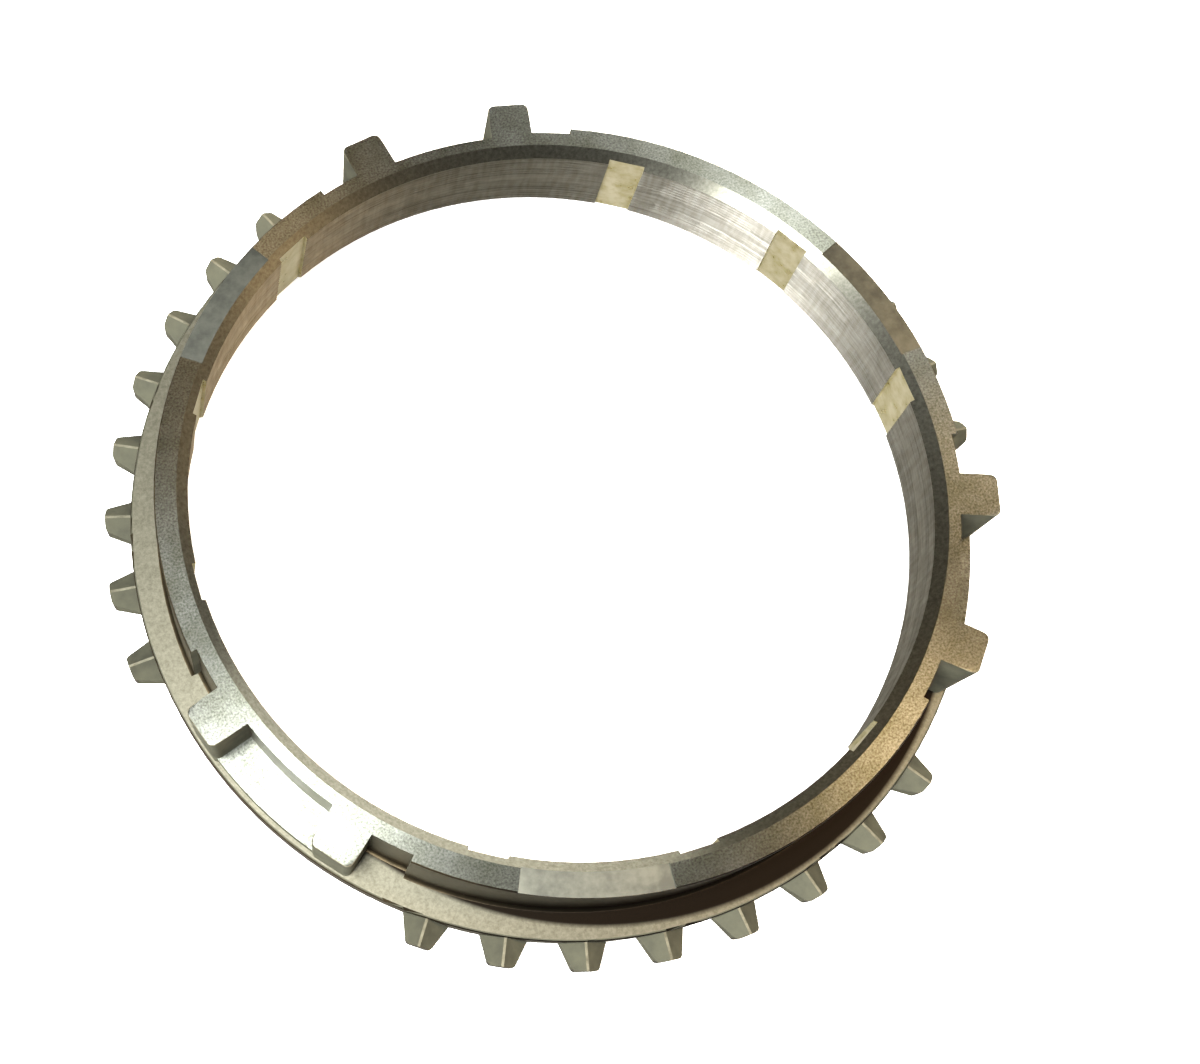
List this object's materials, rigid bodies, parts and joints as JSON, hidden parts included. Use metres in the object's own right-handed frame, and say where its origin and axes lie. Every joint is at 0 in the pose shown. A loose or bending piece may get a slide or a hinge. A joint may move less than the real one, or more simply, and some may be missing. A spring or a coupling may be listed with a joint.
{
  "type": "synchronizer ring",
  "caption": "Brass synchronizer ring: tapered friction bore with oil grooves, flange with roof-shaped blocking teeth, and paired lug pillars that guard the strut recesses.",
  "frame": {"origin": "on the ring axis, in the gear-side face", "axes": "+Z along the ring axis toward the hub side, +Y through the middle of one lug"},
  "size_m": [0.1312, 0.1276, 0.0165],
  "materials": {
    "forged_brass": "matte forged skin with machined cone, chamfers and pads"
  },
  "bodies": {
    "root": {"synchronizer_ring": "forged_brass"}
  },
  "joints": []
}
